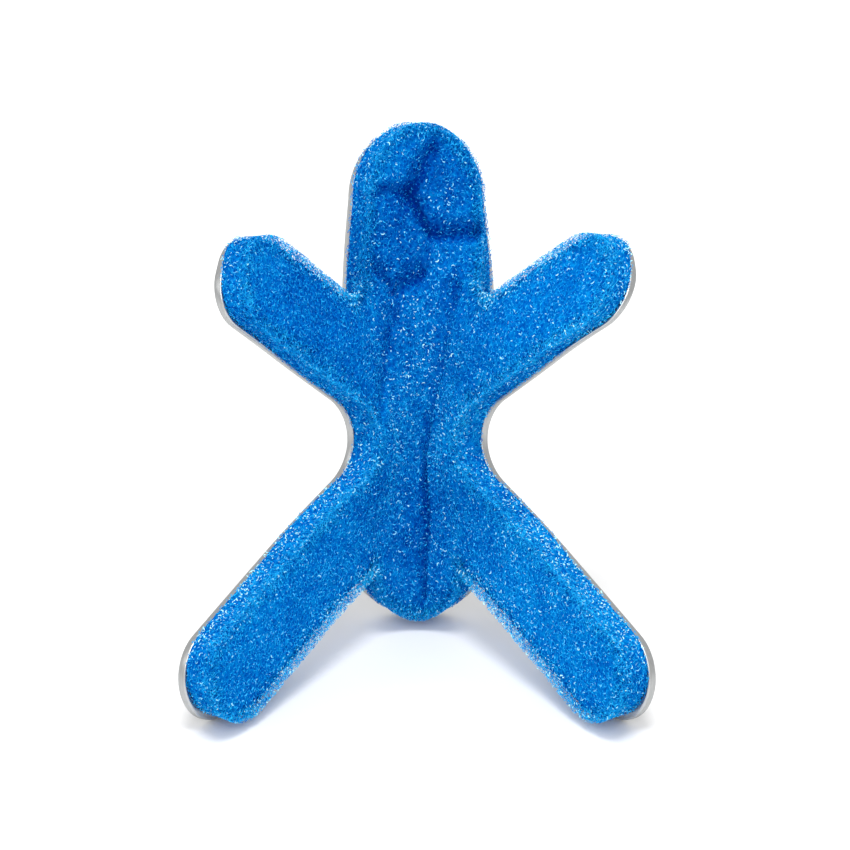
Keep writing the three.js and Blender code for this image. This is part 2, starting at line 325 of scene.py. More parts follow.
def outline_arcs():
    """The arcs of the right half, anticlockwise from the tail's end; straight edges join them."""
    quarter = math.pi / 2
    arm_turn, leg_turn = math.radians(ARM["angle"]), math.radians(LEG["angle"])
    leg_direction, arm_direction = limb_direction(LEG), limb_direction(ARM)
    tail_centre = np.array([0.0, TAIL_RADIUS])
    from_centre = limb_point(LEG, 0, -LEG["half_width"]) - tail_centre
    halfway = from_centre @ leg_direction
    reach = math.sqrt(halfway**2 - from_centre @ from_centre + TAIL_RADIUS**2) - halfway
    crotch = from_centre + leg_direction * reach
    waist = crossing(
        limb_point(ARM, 0, -ARM["half_width"] - WAIST_RADIUS),
        arm_direction,
        limb_point(LEG, 0, LEG["half_width"] + WAIST_RADIUS),
        leg_direction,
    )
    return [
        (tail_centre, TAIL_RADIUS, -quarter, math.atan2(crotch[1], crotch[0])),
        *tip_arcs(LEG),
        (waist, WAIST_RADIUS, leg_turn + 3 * quarter, arm_turn + quarter),
        *tip_arcs(ARM),
        (NECK, 0.0, 0.0, 0.0),
        (np.array([0.0, HEAD["top"] - HEAD["radius"]]), HEAD["radius"], 0.0, quarter),
    ]


def outline(step):
    """The whole outline as points about a step apart, anticlockwise from the tail's end."""
    right = np.zeros((1, 2))
    for centre, radius, start, end in outline_arcs():
        count = round(abs(end - start) * radius / step)
        angles = np.linspace(start, end, count + 1)
        arc = centre + radius * np.stack([np.cos(angles), np.sin(angles)], axis=1)
        gap = arc[0] - right[-1]
        steps = round(float(np.hypot(*gap)) / step)
        shares = np.arange(1, steps + 1) / max(steps, 1)
        edge = right[-1] + gap * shares[:, None]
        right = np.concatenate([right, edge, arc[1:]])
    left = right[-2:0:-1] * [-1, 1]
    return np.concatenate([right, left])


def outward_normals(ring):
    along = np.roll(ring, -1, axis=0) - np.roll(ring, 1, axis=0)
    along /= np.linalg.norm(along, axis=1)[:, None]
    return np.stack([along[:, 1], -along[:, 0]], axis=1)


def inside_ring(points, ring):
    inside = np.zeros(len(points), bool)
    x, y = points[:, 0], points[:, 1]
    for a, b in zip(ring, np.roll(ring, -1, axis=0)):
        if a[1] == b[1]:
            continue
        spans = (a[1] > y) != (b[1] > y)
        inside ^= spans & (x < a[0] + (b[0] - a[0]) * (y - a[1]) / (b[1] - a[1]))
    return inside


def nearest_on_ring(points, ring):
    """The distance of each flat point to the nearest of the ring's points, and which one that is."""
    distances = []
    indices = []
    for start in range(0, len(points), BATCH):
        gaps = points[start : start + BATCH, None, :] - ring[None, :, :]
        squares = (gaps**2).sum(axis=2)
        indices.append(squares.argmin(axis=1))
        distances.append(np.sqrt(squares.min(axis=1)))
    return np.concatenate(distances), np.concatenate(indices)


def ring_distance(points, ring):
    return nearest_on_ring(points, ring)[0]


def filled(ring, step):
    """Triangles that fill a ring: (points, triangles), the ring's points first."""
    low, high = ring.min(axis=0), ring.max(axis=0)
    row_step = step * math.sin(math.pi / 3)
    rows = np.arange(low[1], high[1], row_step)
    columns = np.arange(math.floor(low[0] / step), math.ceil(high[0] / step) + 1)
    lattice = []
    for k, y in enumerate(rows):
        x = (columns + 0.5 * (k % 2)) * step
        lattice.append(np.stack([x, np.full(len(columns), y)], axis=1))
    lattice = np.concatenate(lattice)
    lattice = lattice[inside_ring(lattice, ring)]
    lattice = lattice[ring_distance(lattice, ring) > RING_CLEARANCE * step]
    points = np.concatenate([ring, lattice])
    count = len(ring)
    edges = [(k, (k + 1) % count) for k in range(count)]
    made = delaunay_2d_cdt([Vector(p) for p in points], edges, [], 1, WELD)
    assert len(made[0]) == len(points)
    return points, np.array(made[2])


# The bent splint


def section_at(height):
    section = {}
    for name in ("radius", "wing", "twist"):
        value = np.full(height.shape, float(SECTIONS[0][name]))
        for low, high in zip(SECTIONS, SECTIONS[1:]):
            value += (high[name] - low[name]) * smooth_step(height, low["height"], high["height"])
        section[name] = value
    return section["radius"], np.radians(section["wing"]), np.radians(section["twist"])


def turned(x, y, angle):
    return x * np.cos(angle) - y * np.sin(angle), x * np.sin(angle) + y * np.cos(angle)


def bent(flat, offset):
    """Flat points raised off the sheet's back: x across, -y towards the finger, z up the spine."""
    radius, wing, twist = section_at(flat[:, 1])
    reach = np.abs(flat[:, 0])
    turn = np.minimum(reach / radius, wing)
    straight = reach - radius * turn
    arc_radius = radius - offset
    across = np.sign(flat[:, 0]) * (arc_radius * np.sin(turn) + straight * np.cos(turn))
    back = arc_radius * np.cos(turn) - straight * np.sin(turn) - radius
    x, y = turned(across, back, twist)
    in_head = (flat[:, 1] > NECK[1]) & (reach < NECK[0])
    head_share = smooth_step(flat[:, 1], NECK[1], NECK[1] + HEAD_TURN["rise"])
    head_turn = np.where(in_head, head_share * math.radians(HEAD_TURN["angle"]), 0.0)
    x, y = turned(x, y + HEAD_TURN["in_front"], head_turn)
    y = y - HEAD_TURN["in_front"]
    curled = (flat[:, 1] < TAIL_CURL["below"]) & (reach < TAIL_RADIUS)
    y = y + np.where(curled, TAIL_CURL["depth"] * (1 - flat[:, 1] / TAIL_CURL["below"]) ** 2, 0.0)
    return np.stack([x, y, flat[:, 1]], axis=1)


def leaned(points, lean):
    y = points[:, 1] * math.cos(lean) + points[:, 2] * math.sin(lean)
    z = points[:, 2] * math.cos(lean) - points[:, 1] * math.sin(lean)
    return np.stack([points[:, 0], y, z], axis=1)


def standing_lean():
    """The lean at which the legs' tips and the tail's end all touch the floor."""
    ring = outline(FIT_RING_STEP)
    leg_tips = bent(ring[(np.abs(ring[:, 0]) > TAIL_RADIUS) & (ring[:, 1] < 0)], 0.0)
    tail_end = bent(ring[(np.abs(ring[:, 0]) < TAIL_RADIUS / 2) & (ring[:, 1] < TAIL_RADIUS)], 0.0)
    small, large = 0.0, math.pi / 2
    for _ in range(LEAN_HALVINGS):
        lean = (small + large) / 2
        if leaned(leg_tips, lean)[:, 2].min() > leaned(tail_end, lean)[:, 2].min():
            large = lean
        else:
            small = lean
    return small


LEAN = standing_lean()


def frame_shift():
    """Moves the leaned splint onto the frame's plate."""
    ring = outline(FIT_RING_STEP)
    edges = np.concatenate([leaned(bent(ring, offset), LEAN) for offset in (0.0, SHEET_THICKNESS)])
    low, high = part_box("aluminium_plate")
    middle = (np.array(low) + np.array(high)) / 2 / MM
    return middle - (edges.min(axis=0) + edges.max(axis=0)) / 2


SHIFT = frame_shift()


def placed(flat, offset):
    """Flat points on the standing splint, in metres."""
    return (leaned(bent(flat, offset), LEAN) + SHIFT) * MM


# The pad's surface: creases, swellings and cells


WOBBLE_CELLS = 97
WOBBLE_START = 40.0


class Wobble:
    """Smooth noise between -1 and 1 over flat points, with lumps of a given size."""

    def __init__(self, size):
        self.size = size
        self.table = rng.uniform(-1, 1, (WOBBLE_CELLS, WOBBLE_CELLS))

    def at(self, points):
        spot = points / self.size + WOBBLE_START
        cell = np.floor(spot).astype(int)
        share = spot - cell
        share = share * share * (3 - 2 * share)
        low_x, low_y = cell[:, 0] % WOBBLE_CELLS, cell[:, 1] % WOBBLE_CELLS
        high_x, high_y = (low_x + 1) % WOBBLE_CELLS, (low_y + 1) % WOBBLE_CELLS
        low = self.table[low_x, low_y] * (1 - share[:, 0]) + self.table[high_x, low_y] * share[:, 0]
        high = self.table[low_x, high_y] * (1 - share[:, 0]) + self.table[high_x, high_y] * share[:, 0]
        return low * (1 - share[:, 1]) + high * share[:, 1]


WARP = (Wobble(4.0), Wobble(4.0))
LUMPS = Wobble(5.0)
TONE_PATCHES = Wobble(2.2)
EDGE_LUMPS = Wobble(0.9)
WARP_SIZE = 0.45
LUMP_HEIGHT = 0.12
LIP = {"share": 0.12, "at": 1.1, "width": 0.4}
VALLEY_SHARE = 0.9
SLIT = {"share": 0.25, "width": 0.7}
DEEPEST = 2.2


def fold_distance(points, fold):
    """The distance of each flat point to a fold's line, and whether it lies to the left of it."""
    start, end = np.array(fold["from"]), np.array(fold["to"])
    along = end - start
    gap = points - start
    share = np.clip(gap @ along / (along @ along), 0, 1)
    on_left = along[0] * gap[:, 1] - along[1] * gap[:, 0] > 0
    return np.linalg.norm(gap - share[:, None] * along, axis=1), on_left


def creased(flat):
    """How deep the creases are at flat points, and how high the lips beside them."""
    warped = flat + WARP_SIZE * np.stack([WARP[0].at(flat), WARP[1].at(flat)], axis=1)
    crease = np.zeros(len(flat))
    lip = np.zeros(len(flat))
    for fold in FOLDS:
        distance, steep = fold_distance(warped, fold)
        share = distance / (fold["width"] * np.where(steep, STEEP_SIDE, 1.0))
        valley = VALLEY_SHARE * (1 - np.clip(share, 0, 1) ** 2) ** 2
        slit = SLIT["share"] * np.exp(-((distance / SLIT["width"]) ** 2))
        crease = np.maximum(crease, fold["depth"] * (valley + slit))
        from_lip = (share - LIP["at"]) / LIP["width"]
        lip = np.maximum(lip, fold["depth"] * LIP["share"] * np.exp(-(from_lip**2)))
    from_pit = np.linalg.norm(warped - PIT["at"], axis=1) / PIT["width"]
    return crease + PIT["depth"] * np.exp(-(from_pit**2)), lip


def pressed(flat):
    """How far the pad's inner face is pressed in at flat points."""
    crease, lip = creased(flat)
    swell = np.zeros(len(flat))
    for bulge in SWELLINGS:
        share = np.clip(fold_distance(flat, bulge)[0] / bulge["width"], 0, 1)
        swell += bulge["depth"] * (1 - share**2) ** 2
    return crease - lip - swell - LUMP_HEIGHT * LUMPS.at(flat)


RING = outline(RING_STEP)
RING_NORMALS = outward_normals(RING)
PAD_BACK = SHEET_THICKNESS + BOND_LINE


def neck_fill(flat):
    """How far the pad's inner face is squeezed into the notches beside the head."""
    sides = np.sign(flat[:, :1]) * [1, 0] + [0, 1]
    away = np.linalg.norm(flat * sides - NECK, axis=1)
    out_of_notch = limb_direction(ARM) + [0, 1]
    out_of_notch = out_of_notch / np.linalg.norm(out_of_notch)
    return NECK_FILL["rise"] * np.exp(-((away / NECK_FILL["width"]) ** 2))[:, None] * out_of_notch * sides


def faces_out(flat, normal):
    """How far the outline at flat points faces away from the spine, from 0 to 1."""
    return smooth_step(np.sign(flat[:, 0]) * normal[:, 0], *FACES_OUT)


def bulged(flat, depth):
    """How far the pad bulges out over the plate at flat points and a depth, from 0 at its back to 1."""
    total = np.zeros((len(flat), 2))
    for bulge in BULGES:
        away = np.linalg.norm(flat - bulge["at"], axis=1) / bulge["reach"]
        share = np.exp(-(away**2)) * (bulge["back"] + (1 - bulge["back"]) * depth)
        total += share[:, None] * bulge["by"]
    return total


def pad_placed(flat, offset, normal, height):
    """Points of the pad in metres: a flat point and its offset, raised along its normal by a height."""
    edge_distance, nearest = nearest_on_ring(flat, RING)
    near_edge = np.clip(1 - edge_distance / EDGE_SOFT, 0, 1) ** 2
    sunk = pressed(flat) + EDGE_DROP * near_edge
    flat = flat + normal[:, :2] * height[:, None]
    offset = offset + normal[:, 2] * height
    depth = np.clip((offset - PAD_BACK) / (PAD_FRONT - PAD_BACK), 0, 1)
    facing_out = faces_out(RING[nearest], RING_NORMALS[nearest])
    before_tip = 1 - smooth_step(np.abs(flat[:, 0]), PAD_HUG["from"], PAD_HUG["to"])
    hug = PAD_HUG["reach"] * (1 - depth) ** 2 * facing_out * before_tip
    flare = (PAD_FLARE * depth**2 + hug) * near_edge
    squeezed = neck_fill(flat) * depth[:, None] + bulged(flat, depth)
    flat = flat + RING_NORMALS[nearest] * flare[:, None] + squeezed
    limb = np.clip((np.abs(flat[:, 0]) - TAIL_RADIUS) / ARM["length"], 0, 1)
    x = flat[:, 0] + np.sign(flat[:, 0]) * PAD_SPREAD * limb * depth
    below_waist = flat[:, 1] < (ARM["root"] + LEG["root"]) / 2
    leg = np.where(below_waist, smooth_step(np.abs(flat[:, 0]), TAIL_RADIUS, 2 * TAIL_RADIUS), 0.0)
    moved = np.stack([x, flat[:, 1] + PAD_RISE + LEG_PAD_RISE * leg], axis=1)
    return placed(moved, offset - sunk * depth**2)


def patched(flat, column):
    """What the broad patches add at flat points, by one of their columns."""
    total = np.zeros(len(flat))
    for patch in LIGHT_AND_SHADE_PATCHES:
        away = np.linalg.norm(flat - patch["at"], axis=1) / patch["reach"]
        total += patch[column] * np.exp(-(away**2))
    return total


def tone_at(flat, edge_distance):
    """The foam's tone at flat points that lie a distance from the nearest cut edge: painted shade in the
    creases, painted light near cut edges, random lumps and the broad painted patches.
    """
    # Painted shade darkens the creases and painted light pales the foam near cut edges.
    share = np.clip(creased(flat)[0] / DEEPEST, 0, 1)
    edge_light = TONE_EDGE_LIGHT * np.exp(-edge_distance / EDGE_LIGHT_REACH)
    tone = TONE_LOOSE - TONE_CREASE_SHADE * share + edge_light + TONE_LUMPS * TONE_PATCHES.at(flat)
    return tone + patched(flat, "tone")


def jittered_cells(low, high):
    """Cell centres on a shaken grid over a flat region."""
    margin = 2 * CELL
    low = np.array(low) - margin
    high = np.array(high) + margin
    columns, rows = np.arange(low[0], high[0], CELL), np.arange(low[1], high[1], CELL)
    grid = np.stack(np.meshgrid(columns, rows, indexing="ij"), axis=-1).reshape(-1, 2)
    return grid + rng.uniform(-CELL_JITTER, CELL_JITTER, grid.shape) * CELL


# Meshes


def mesh_piece(name, points, triangles, material, smooth, tones):
    mesh = bpy.data.meshes.new(name)
    mesh.vertices.add(len(points))
    mesh.vertices.foreach_set("co", np.asarray(points, np.float32).ravel())
    mesh.loops.add(3 * len(triangles))
    mesh.loops.foreach_set("vertex_index", np.asarray(triangles, np.int32).ravel())
    mesh.polygons.add(len(triangles))
    mesh.polygons.foreach_set("loop_start", np.arange(0, 3 * len(triangles), 3, dtype=np.int32))
    mesh.update(calc_edges=True)
    mesh.validate()
    mesh.polygons.foreach_set("use_smooth", np.full(len(mesh.polygons), smooth))
    tone = mesh.attributes.new("tone", "FLOAT", "POINT")
    tone.data.foreach_set("value", np.asarray(tones, np.float32))
    mesh.materials.append(material)
    piece = bpy.data.objects.new(name, mesh)
    bpy.context.scene.collection.objects.link(piece)
    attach(piece, "root")
    return piece


def band_triangles(first, second, count):
    """Triangles between two rings of the same length that start at two indices."""
    here = np.arange(count)
    there = (here + 1) % count
    lower = np.stack([first + here, first + there, second + there], axis=1)
    upper = np.stack([first + here, second + there, second + here], axis=1)
    return np.concatenate([lower, upper])


class Slab:
    """A closed flat body of a back sheet, rings up its side and a front sheet.

    Its points are held as flat points, their offsets from the plate's back and their normals.
    """

    def __init__(self, ring, profile, back_step, front_step):
        normals = outward_normals(ring)
        insets = [ring - normals * inset for inset, _, _ in profile]
        back_points, back_triangles = filled(insets[0], back_step)
        front_points, front_triangles = filled(insets[-1], front_step)
        count = len(ring)
        flats, offsets, facing, starts = [back_points], [], [], [0]
        offsets.append(np.full(len(back_points), profile[0][1]))
        facing.append(np.tile([0.0, 0.0, -1.0], (len(back_points), 1)))
        for points, (_, offset, tilt) in zip(insets[1:-1], profile[1:-1]):
            starts.append(sum(len(f) for f in flats))
            flats.append(points)
            offsets.append(np.full(count, offset))
            side = np.concatenate([normals * math.cos(tilt), np.full((count, 1), math.sin(tilt))], axis=1)
            facing.append(side)
        starts.append(sum(len(f) for f in flats))
        flats.append(front_points)
        offsets.append(np.full(len(front_points), profile[-1][1]))
        facing.append(np.tile([0.0, 0.0, 1.0], (len(front_points), 1)))
        bands = [band_triangles(low, high, count) for low, high in zip(starts, starts[1:])]
        self.flat = np.concatenate(flats)
        self.offset = np.concatenate(offsets)
        self.normal = np.concatenate(facing)
        self.triangles = np.concatenate([back_triangles[:, ::-1], *bands, front_triangles + starts[-1]])


def quarter_round(radius, offset, steps, rising):
    """Profile rows round an edge: (inset, offset, tilt of the normal)."""
    rows = []
    for tilt in np.linspace(0, math.pi / 2, steps + 1):
        inset = radius * (1 - math.cos(tilt))
        rows.append((inset, offset + rising * radius * (math.sin(tilt) - 1), rising * tilt))
    return rows if rising > 0 else rows[::-1]


def make_plate(material):
    ring = outline(PLATE_RING_STEP)
    back_edge = quarter_round(SHEET_EDGE_ROUND, 0.0, PLATE_EDGE_STEPS, -1)
    front_edge = quarter_round(SHEET_EDGE_ROUND, SHEET_THICKNESS, PLATE_EDGE_STEPS, 1)
    slab = Slab(ring, back_edge + front_edge, PLATE_FACE_STEP, PLATE_FACE_STEP)
    # Painted shade on the back rounding of the edges and a painted highlight on the front rounding.
    towards_front = slab.normal[:, 2]
    tones = np.where(np.abs(towards_front) < 1, 0.5 + 0.5 * towards_front, 0.5)
    points = placed(slab.flat, slab.offset)
    plate = mesh_piece("plate_bent_sheet", points, slab.triangles, material, True, tones)
    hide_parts("aluminium_plate")


SPIKE = [(0, 1, 3), (1, 2, 3), (2, 0, 3), (0, 2, 1)]
SPIKE_CORNERS = 4
UPRIGHT = 0.8
SHORTEST = 1e-9


def spikes(feet, tips, radius):
    """Closed three-sided spikes from feet to tips: (points, triangles)."""
    corners = [*corner_points(feet, tips - feet, radius), tips]
    points = np.stack(corners, axis=1).reshape(-1, 3)
    return points, repeated(SPIKE, SPIKE_CORNERS, len(feet))


def repeated(triangles, corner_count, count):
    """The triangles of a count of like bodies with the same number of corners."""
    starts = np.arange(count)[:, None, None] * corner_count
    return (starts + np.array(triangles)[None]).reshape(-1, 3)


def corner_points(middles, along, radius):
    """The three corners of a section across each of a list of directions."""
    along = along / np.maximum(np.linalg.norm(along, axis=1), SHORTEST)[:, None]
    helper = np.where(np.abs(along[:, 2:3]) < UPRIGHT, [[0.0, 0.0, 1.0]], [[1.0, 0.0, 0.0]])
    side = np.cross(along, helper)
    side /= np.linalg.norm(side, axis=1)[:, None]
    other = np.cross(along, side)
    angles = [k * 2 * math.pi / 3 for k in range(3)]
    return [middles + (side * math.cos(a) + other * math.sin(a)) * radius[:, None] for a in angles]


def cell_net(centres):
    """The walls between cells as (nodes, pairs of nodes): each node is the middle of three cells."""
    made = delaunay_2d_cdt([Vector(p) for p in centres], [], [], 0, WELD)
    points = np.array([tuple(p) for p in made[0]])
    triangles = np.array(made[2])
    nodes = points[triangles].mean(axis=1)
    sides = np.concatenate([triangles[:, [0, 1]], triangles[:, [1, 2]], triangles[:, [2, 0]]])
    owner = np.tile(np.arange(len(triangles)), 3)
    sides.sort(axis=1)
    order = np.lexsort((sides[:, 1], sides[:, 0]))
    sides, owner = sides[order], owner[order]
    twins = np.all(sides[1:] == sides[:-1], axis=1)
    pairs = np.stack([owner[:-1][twins], owner[1:][twins]], axis=1)
    return nodes, pairs


class FrontFace:
    """The pad's inner face, whose places are flat points."""

    def __init__(self):
        self.low, self.high = RING.min(axis=0), RING.max(axis=0)

    def spots(self, places):
        count = len(places)
        return places, np.full(count, PAD_FRONT), np.tile([0.0, 0.0, 1.0], (count, 1))

    def holds(self, places):
        return inside_ring(places, RING)

    def edge_distance(self, places):
        distance, nearest = nearest_on_ring(places, RING)
        return distance + RIDGE_LIGHT_SETBACK * faces_out(RING[nearest], RING_NORMALS[nearest])

    def lit_from_above(self, places):
        return np.zeros(len(places))


class SideFace:
    """The pad's cut side, whose places are distances along the outline and offsets from the plate's back."""

    def __init__(self):
        steps = np.linalg.norm(np.roll(RING, -1, axis=0) - RING, axis=1)
        self.length = steps.sum()
        self.distance = np.concatenate([[0], np.cumsum(steps)])
        self.ring = np.concatenate([RING, RING[:1]])
        self.normals = np.concatenate([RING_NORMALS, RING_NORMALS[:1]])
        self.low, self.high = np.array([0.0, PAD_BACK]), np.array([self.length, PAD_FRONT])

    def spots(self, places):
        distance = places[:, 0] % self.length
        flat = np.stack([np.interp(distance, self.distance, self.ring[:, k]) for k in (0, 1)], axis=1)
        normal = np.stack([np.interp(distance, self.distance, self.normals[:, k]) for k in (0, 1)], axis=1)
        normal /= np.linalg.norm(normal, axis=1)[:, None]
        return flat, places[:, 1], np.concatenate([normal, np.zeros((len(flat), 1))], axis=1)

    def holds(self, places):
        along = (places[:, 0] >= 0) & (places[:, 0] < self.length)
        return along & (places[:, 1] > PAD_BACK + SIDE_NET["off_plate"]) & (places[:, 1] < PAD_FRONT)

    def edge_distance(self, places):
        flat, offset, normal = self.spots(places)
        # Painted light from above removes the setback on sides that face up the spine.
        ridge = RIDGE_LIGHT_SETBACK * faces_out(flat, normal) * (1 - self.lit_from_above(places))
        return ridge + SIDE_EDGE_LIGHT_FADE * (1 - normal[:, 1]) * (PAD_FRONT - offset)

    # Painted light from above on cut sides that face up the spine and away from it, strongest near the plate.
    def lit_from_above(self, places):
        flat, offset, normal = self.spots(places)
        depth = np.clip((PAD_FRONT - offset) / (PAD_FRONT - PAD_BACK), 0, 1)
        return np.maximum(normal[:, 1], 0) * faces_out(flat, normal) * depth**2


FRONT = FrontFace()
SIDE = SideFace()


def foam_piece(name, shape, tones, material, smooth=False):
    piece = mesh_piece(name, *shape, material, smooth, tones)
    return piece


def make_core(material):
    """The dense inside of the pad, with a grain of its own under the net."""
    ring = RING - RING_NORMALS * NET_DEPTH
    front = PAD_FRONT - NET_DEPTH
    back_edge = quarter_round(CORE_BACK_ROUND, PAD_BACK, CORE_BACK_STEPS, -1)
    straight = np.arange(PAD_BACK + CORE_BACK_ROUND, front - CORE_FRONT_ROUND, CORE_STEP)[1:]
    rows = back_edge + [(0.0, offset, 0.0) for offset in straight]
    front_edge = quarter_round(CORE_FRONT_ROUND, front, CORE_FRONT_STEPS, 1)
    slab = Slab(ring, rows + front_edge, CORE_BACK_STEP, CORE_STEP)
    near_edge = np.clip(1 - ring_distance(slab.flat, RING) / CORE_RAGGED["reach"], 0, 1)
    ragged = CORE_RAGGED["share"] * near_edge * smooth_step(slab.offset, front - CORE_FRONT_ROUND, front)
    ragged = ragged * (1 + EDGE_LUMPS.at(slab.flat))
    grain = rng.uniform(-CORE_GRAIN, 0, len(slab.flat)) * (1 + ragged)
    points = pad_placed(slab.flat, slab.offset, slab.normal, grain)
    tones = tone_at(slab.flat, np.full(len(slab.flat), FAR_FROM_EDGE))
    body = foam_piece("foam_pad_body", (points, slab.triangles), tones - TONE_SHIFT, material, True)
    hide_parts("foam_pad")


def core_inset(offset):
    """How far the core's side lies in from the outline at an offset."""
    low = np.clip(PAD_BACK + CORE_BACK_ROUND - offset, 0, CORE_BACK_ROUND)
    high = np.clip(offset - (PAD_FRONT - NET_DEPTH - CORE_FRONT_ROUND), 0, CORE_FRONT_ROUND)
    back_inset = CORE_BACK_ROUND - np.sqrt(CORE_BACK_ROUND**2 - low**2)
    front_inset = CORE_FRONT_ROUND - np.sqrt(CORE_FRONT_ROUND**2 - high**2)
    return NET_DEPTH + np.maximum(back_inset, front_inset)


def struts(points, pairs, tones):
    """Spikes along pairs of points, half of them each way: (shape, tones)."""
    swapped = rng.random(len(pairs)) < 0.5
    pairs = np.where(swapped[:, None], pairs[:, ::-1], pairs)
    radius = rng.uniform(*STRUT_SPREAD, len(pairs)) * STRUT_RADIUS * MM
    shape = spikes(points[pairs[:, 0]], points[pairs[:, 1]], radius)
    own = tones[pairs].mean(axis=1) + rng.normal(0, TONE_STRUTS, len(pairs)) - TONE_SHIFT
    return shape, np.repeat(own, SPIKE_CORNERS)


def make_front_net(material):
    """The cell walls' edges over the pad's inner face."""
    nodes, pairs = cell_net(jittered_cells(FRONT.low, FRONT.high))
    kept = FRONT.holds(nodes)
    pairs = pairs[kept[pairs].all(axis=1)]
    height = rng.uniform(*NET_HEIGHTS, len(nodes))
    points = pad_placed(*FRONT.spots(nodes), height)
    node_tones = tone_at(nodes, FRONT.edge_distance(nodes)) + rng.normal(0, TONE_NODES, len(nodes))
    shape, tones = struts(points, pairs, node_tones)
    foam_piece("foam_cell_struts_front", shape, tones, material)


def lattice_pairs(shape, kept_share):
    """A random share of the pairs of neighbours in a lattice whose first way is closed round."""
    here = np.stack(np.meshgrid(*map(np.arange, shape), indexing="ij"), axis=-1).reshape(-1, 3)
    pairs = []
    for step in itertools.product((-1, 0, 1), repeat=3):
        if step <= (0, 0, 0):
            continue
        there = here + step
        there[:, 0] %= shape[0]
        fits = ((there >= 0) & (there < shape)).all(axis=1)
        neighbour = np.ravel_multi_index(there[fits].T, shape)
        pairs.append(np.stack([np.flatnonzero(fits), neighbour], axis=1))
    pairs = np.concatenate(pairs)
    return pairs[rng.random(len(pairs)) < kept_share]


def make_side_net(material):
    """The open net outside the core along the pad's cut sides, in two pieces."""
    cell = SIDE_NET["cell"]
    along = np.linspace(0, SIDE.length, round(SIDE.length / cell), endpoint=False)
    insets = np.arange(0, NET_DEPTH + CORE_FRONT_ROUND, cell)
    layers = round((PAD_FRONT - PAD_BACK) / cell)
    offsets = np.linspace(PAD_BACK + SIDE_NET["off_plate"], PAD_FRONT - SIDE_NET["highest"], layers)
    grid = np.stack(np.meshgrid(along, insets, offsets, indexing="ij"), axis=-1)
    pairs = lattice_pairs(grid.shape[:3], SIDE_NET["share"])
    grid = grid.reshape(-1, 3)
    grid = grid + rng.uniform(-CELL_JITTER, CELL_JITTER, grid.shape) * cell
    inset = np.maximum(grid[:, 1], 0)
    offset = np.clip(grid[:, 2], PAD_BACK + SIDE_NET["lowest"], PAD_FRONT)
    flat, offset, normal = SIDE.spots(np.stack([grid[:, 0], offset], axis=1))
    flat = flat - normal[:, :2] * inset[:, None]
    outside = inset < core_inset(offset) + SIDE_NET["into_core"]
    pairs = pairs[outside[pairs].all(axis=1)]
    points = pad_placed(flat, offset, normal, np.zeros(len(flat)))
    below = SIDE.edge_distance(np.stack([grid[:, 0], offset], axis=1))
    tones = tone_at(flat, np.hypot(inset, below)) + rng.normal(0, TONE_NODES, len(flat))
    on_left = flat[pairs[:, 0], 0] < 0
    for name, chosen in (("left", on_left), ("right", ~on_left)):
        shape, own = struts(points, pairs[chosen], tones)
        foam_piece("foam_cell_struts_side_" + name, shape, own, material)


def make_cut_ends(material):
    """Short free ends of cell walls that stick out along the pad's front edge."""
    count = round(SIDE.length * CUT_ENDS["per_mm"])
    along = rng.uniform(0, SIDE.length, count)
    below = rng.uniform(0, CUT_ENDS["band"], count)
    flat, offset, outward = SIDE.spots(np.stack([along, PAD_FRONT - below], axis=1))
    tilt = rng.uniform(0, math.pi / 2, count)[:, None]
    normal = outward * np.cos(tilt) + np.array([0, 0, 1.0]) * np.sin(tilt)
    flat = flat - outward[:, :2] * rng.uniform(0, CUT_ENDS["band"], count)[:, None] * np.sin(tilt)
    feet = pad_placed(flat, offset, normal, np.full(count, CUT_ENDS["foot"]))
    tips = pad_placed(flat, offset, normal, rng.uniform(*CUT_ENDS["tips"], count))
    tips = tips + rng.normal(0, CUT_ENDS["stray"], (count, 3)) * MM
    shape = spikes(feet, tips, np.full(count, STRUT_RADIUS * MM))
    # The cut ends take the full painted edge light.
    tones = tone_at(flat, np.zeros(count)) - TONE_SHIFT
    foam_piece("foam_cut_ends", shape, np.repeat(tones, SPIKE_CORNERS), material)


def make_rim(material):
    """Cell walls that the cut left lying along the pad's front edge, in strands one below the other."""
    count = round(SIDE.length / RIM["step"])
    along = np.linspace(0, SIDE.length, count, endpoint=False)
    below = np.linspace(0, RIM["depth"], RIM["strands"])
    grid = np.stack(np.meshgrid(along, [0.0], PAD_FRONT - below, indexing="ij"), axis=-1)
    pairs = lattice_pairs(grid.shape[:3], RIM["share"])
    places = grid.reshape(-1, 3)[:, [0, 2]]
    places = places + rng.uniform(-CELL_JITTER, CELL_JITTER, places.shape) * RIM["step"]
    places[:, 1] = np.minimum(places[:, 1], PAD_FRONT)
    flat, offset, normal = SIDE.spots(places)
    points = pad_placed(flat, offset, normal, np.zeros(len(flat)))
    shape, tones = struts(points, pairs, tone_at(flat, SIDE.edge_distance(places)))
    foam_piece("foam_cut_rim", shape, tones, material)


def window_tones(flat, edge_distance, lit_from_above):
    # Painted glints, painted edge light and painted light from above make some skins paler.
    painted_glint = WINDOW_TONE["painted_glint"] * rng.random(len(flat)) ** WINDOW_TONE["rarity"]
    around = tone_at(flat, edge_distance) - TONE_LOOSE
    edge_light = WINDOW_TONE["edge_light"] * np.exp(-edge_distance / EDGE_LIGHT_REACH) + WINDOW_TONE["lit_from_above"] * lit_from_above
    return WINDOW_TONE["dull"] + painted_glint * (1 + patched(flat, "painted_glint")) + around + edge_light - TONE_SHIFT


